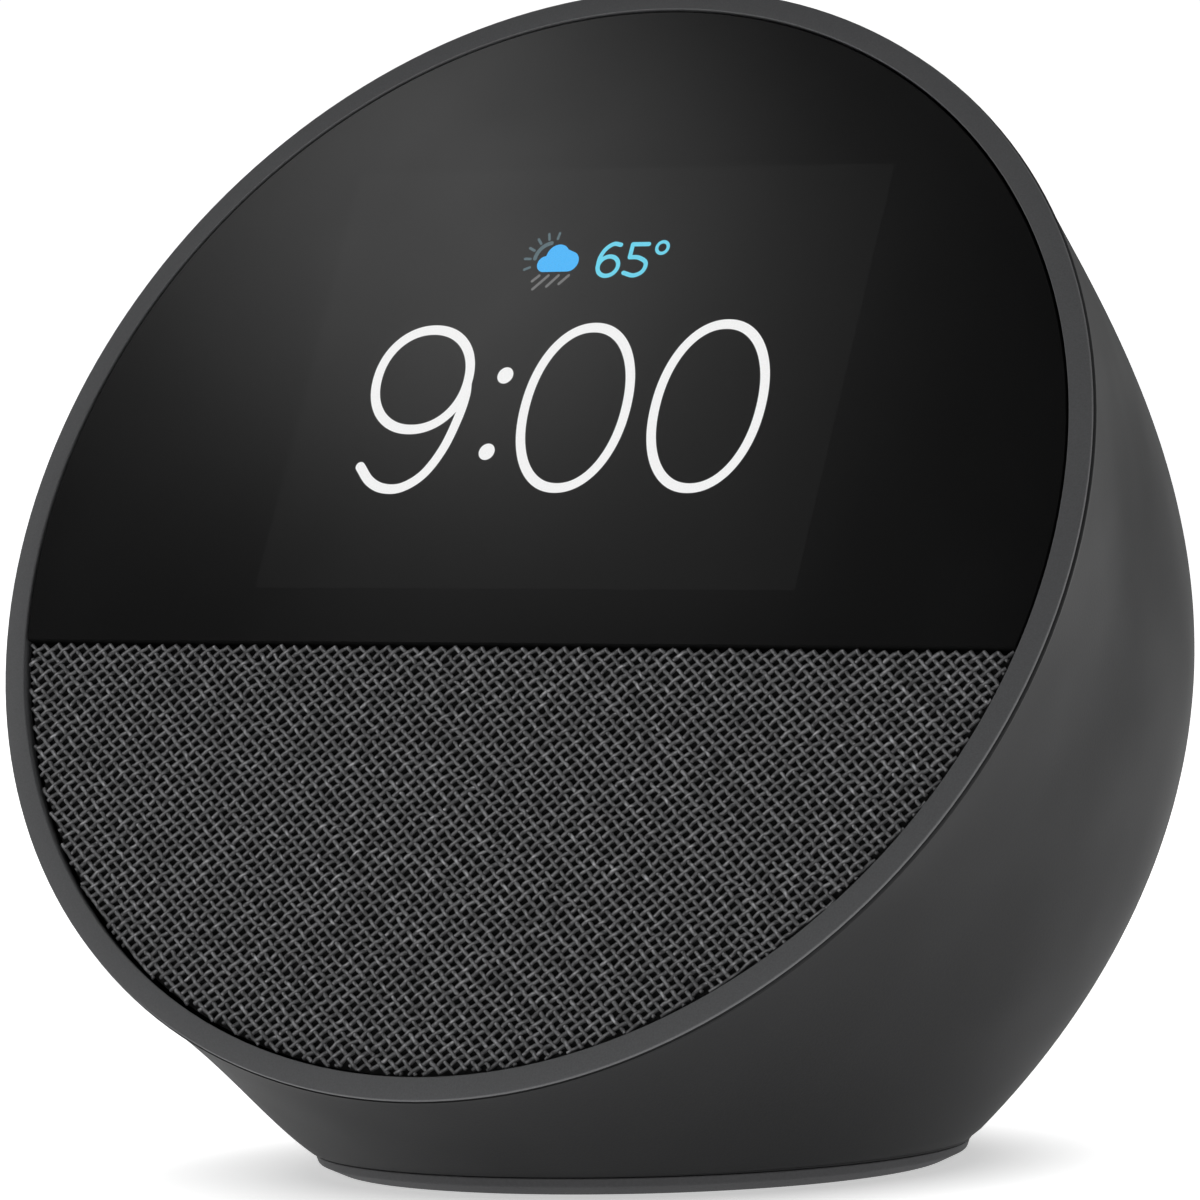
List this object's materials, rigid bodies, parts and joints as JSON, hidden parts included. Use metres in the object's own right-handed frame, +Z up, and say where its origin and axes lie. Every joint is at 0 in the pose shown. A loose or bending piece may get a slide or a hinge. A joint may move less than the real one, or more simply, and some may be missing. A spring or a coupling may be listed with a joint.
{
  "type": "smart display",
  "caption": "Round smart display on a rubber foot: a tilted face with a glass clock screen over a fabric speaker grille, buttons on top and a power inlet behind.",
  "frame": {"origin": "on the floor, at the middle of the bounding box in X and Y", "axes": "+Z up, the face looks to -Y and leans back, +X is to the right for someone looking at the back along +Y from the front"},
  "size_m": [0.113, 0.1034, 0.1094],
  "materials": {
    "housing": "charcoal plastic with a fine matt grain",
    "bezel": "grey fine-grained ring with softened edges",
    "cover_glass": "glossy glass, black behind",
    "grille_fabric": "open diagonal net weave of grey yarn",
    "panel": "unlit display glass",
    "button": "charcoal plastic caps with light marks",
    "black_plastic": "moulded black plastic",
    "inlet_plastic": "black socket plastic",
    "seal_rubber": "soft black rubber or foam",
    "foot_rubber": "dull charcoal rubber",
    "sheet_aluminium": "plain sheet aluminium",
    "screw_steel": "zinc-plated steel",
    "shield_steel": "tinned sheet steel",
    "weight_steel": "plain steel disc",
    "basket_metal": "black-painted pressed metal",
    "ferrite": "dark ferrite",
    "cone_paper": "black pulp paper",
    "copper": "enamelled copper wire",
    "contact_metal": "nickel-plated contact",
    "circuit_board": "green solder mask on glass laminate",
    "chip": "black moulded package",
    "antenna_film": "amber film with copper tracks",
    "ribbon_film": "amber flexible film",
    "lead_red": "red sleeved wires",
    "lead_black": "black sleeved wires"
  },
  "bodies": {
    "root": {"rear_housing": "housing", "bezel_ring": "bezel", "glass_cover": "cover_glass", "glass_gasket": "seal_rubber", "fabric_grille": "grille_fabric", "grille_plate": "black_plastic", "display_panel": "panel", "backlight_tray": "sheet_aluminium", "front_chassis": "black_plastic", "chassis_screw_1": "screw_steel", "chassis_screw_2": "screw_steel", "chassis_screw_3": "screw_steel", "chassis_screw_4": "screw_steel", "speaker_gasket": "seal_rubber", "speaker_basket": "basket_metal", "cone_surround": "seal_rubber", "speaker_magnet": "ferrite", "speaker_yoke": "screw_steel", "speaker_enclosure": "black_plastic", "main_board": "circuit_board", "processor": "chip", "board_shield": "shield_steel", "heat_spreader": "sheet_aluminium", "board_screw_1": "screw_steel", "board_screw_2": "screw_steel", "board_screw_3": "screw_steel", "board_screw_4": "screw_steel", "antenna_left": "antenna_film", "antenna_right": "antenna_film", "volume_down_switch": "chip", "mic_off_switch": "chip", "volume_up_switch": "chip", "button_board": "circuit_board", "button_bracket": "black_plastic", "mic_boot_left": "seal_rubber", "mic_boot_right": "seal_rubber", "bracket_screw_left": "screw_steel", "bracket_screw_right": "screw_steel", "inlet_cup": "inlet_plastic", "power_jack": "inlet_plastic", "jack_pin": "contact_metal", "power_board": "circuit_board", "power_screw_left": "screw_steel", "power_screw_right": "screw_steel", "base_plate": "black_plastic", "counterweight": "weight_steel", "rubber_foot": "foot_rubber", "base_screw_1": "screw_steel", "base_screw_2": "screw_steel", "base_screw_3": "screw_steel", "display_flex": "ribbon_film", "button_flex": "ribbon_film", "speaker_lead": "lead_red", "power_lead": "lead_black"},
    "volume_down": {"volume_down_button": "button"},
    "mic_off": {"mic_off_button": "button"},
    "volume_up": {"volume_up_button": "button"},
    "cone": {"speaker_cone": "cone_paper", "dust_cap": "cone_paper", "voice_coil": "copper"}
  },
  "joints": [
    {"name": "volume_down_press", "type": "slide", "parent": "root", "child": "volume_down", "axis": [0, -0.5502, -0.835], "range_m": [0, 0.0005], "stiffness_N_per_m": 1500},
    {"name": "mic_off_press", "type": "slide", "parent": "root", "child": "mic_off", "axis": [0, -0.5502, -0.835], "range_m": [0, 0.0005], "stiffness_N_per_m": 1500},
    {"name": "volume_up_press", "type": "slide", "parent": "root", "child": "volume_up", "axis": [0, -0.5502, -0.835], "range_m": [0, 0.0005], "stiffness_N_per_m": 1500},
    {"name": "cone_travel", "type": "slide", "parent": "root", "child": "cone", "axis": [0, -0.8813, 0.4726], "range_m": [-0.0005, 0.0005], "stiffness_N_per_m": 1200}
  ]
}
